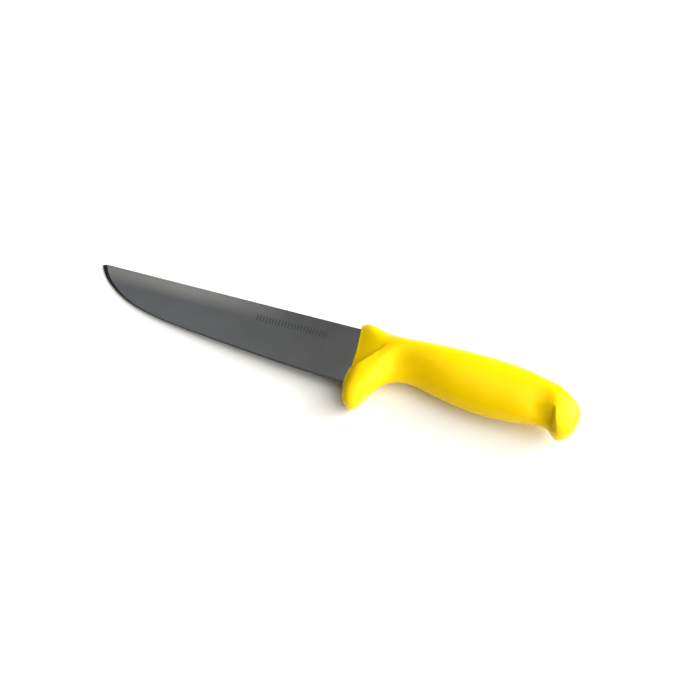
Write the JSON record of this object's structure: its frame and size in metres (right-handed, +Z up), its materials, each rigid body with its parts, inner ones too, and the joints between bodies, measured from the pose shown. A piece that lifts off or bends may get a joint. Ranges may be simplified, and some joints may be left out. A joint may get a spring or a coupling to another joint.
{
  "type": "butcher knife",
  "caption": "Straight-backed butcher's knife with a wide flat-ground steel blade, a hidden tang and a moulded yellow handle with a finger guard and a hooked butt.",
  "frame": {"origin": "centre of the knife's box on the table that it lies on", "axes": "+Z up from the table, +X from the tip towards the butt, +Y towards the spine side; the knife lies on its side with the tip and the handle touching the table"},
  "size_m": [0.292, 0.053, 0.0266],
  "materials": {
    "ground_steel": "satin ground stainless steel, fine scratches along the grind",
    "yellow_plastic": "moulded polypropylene, half gloss with a faint mould texture"
  },
  "bodies": {
    "root": {"blade": "ground_steel", "handle": "yellow_plastic"}
  },
  "joints": []
}
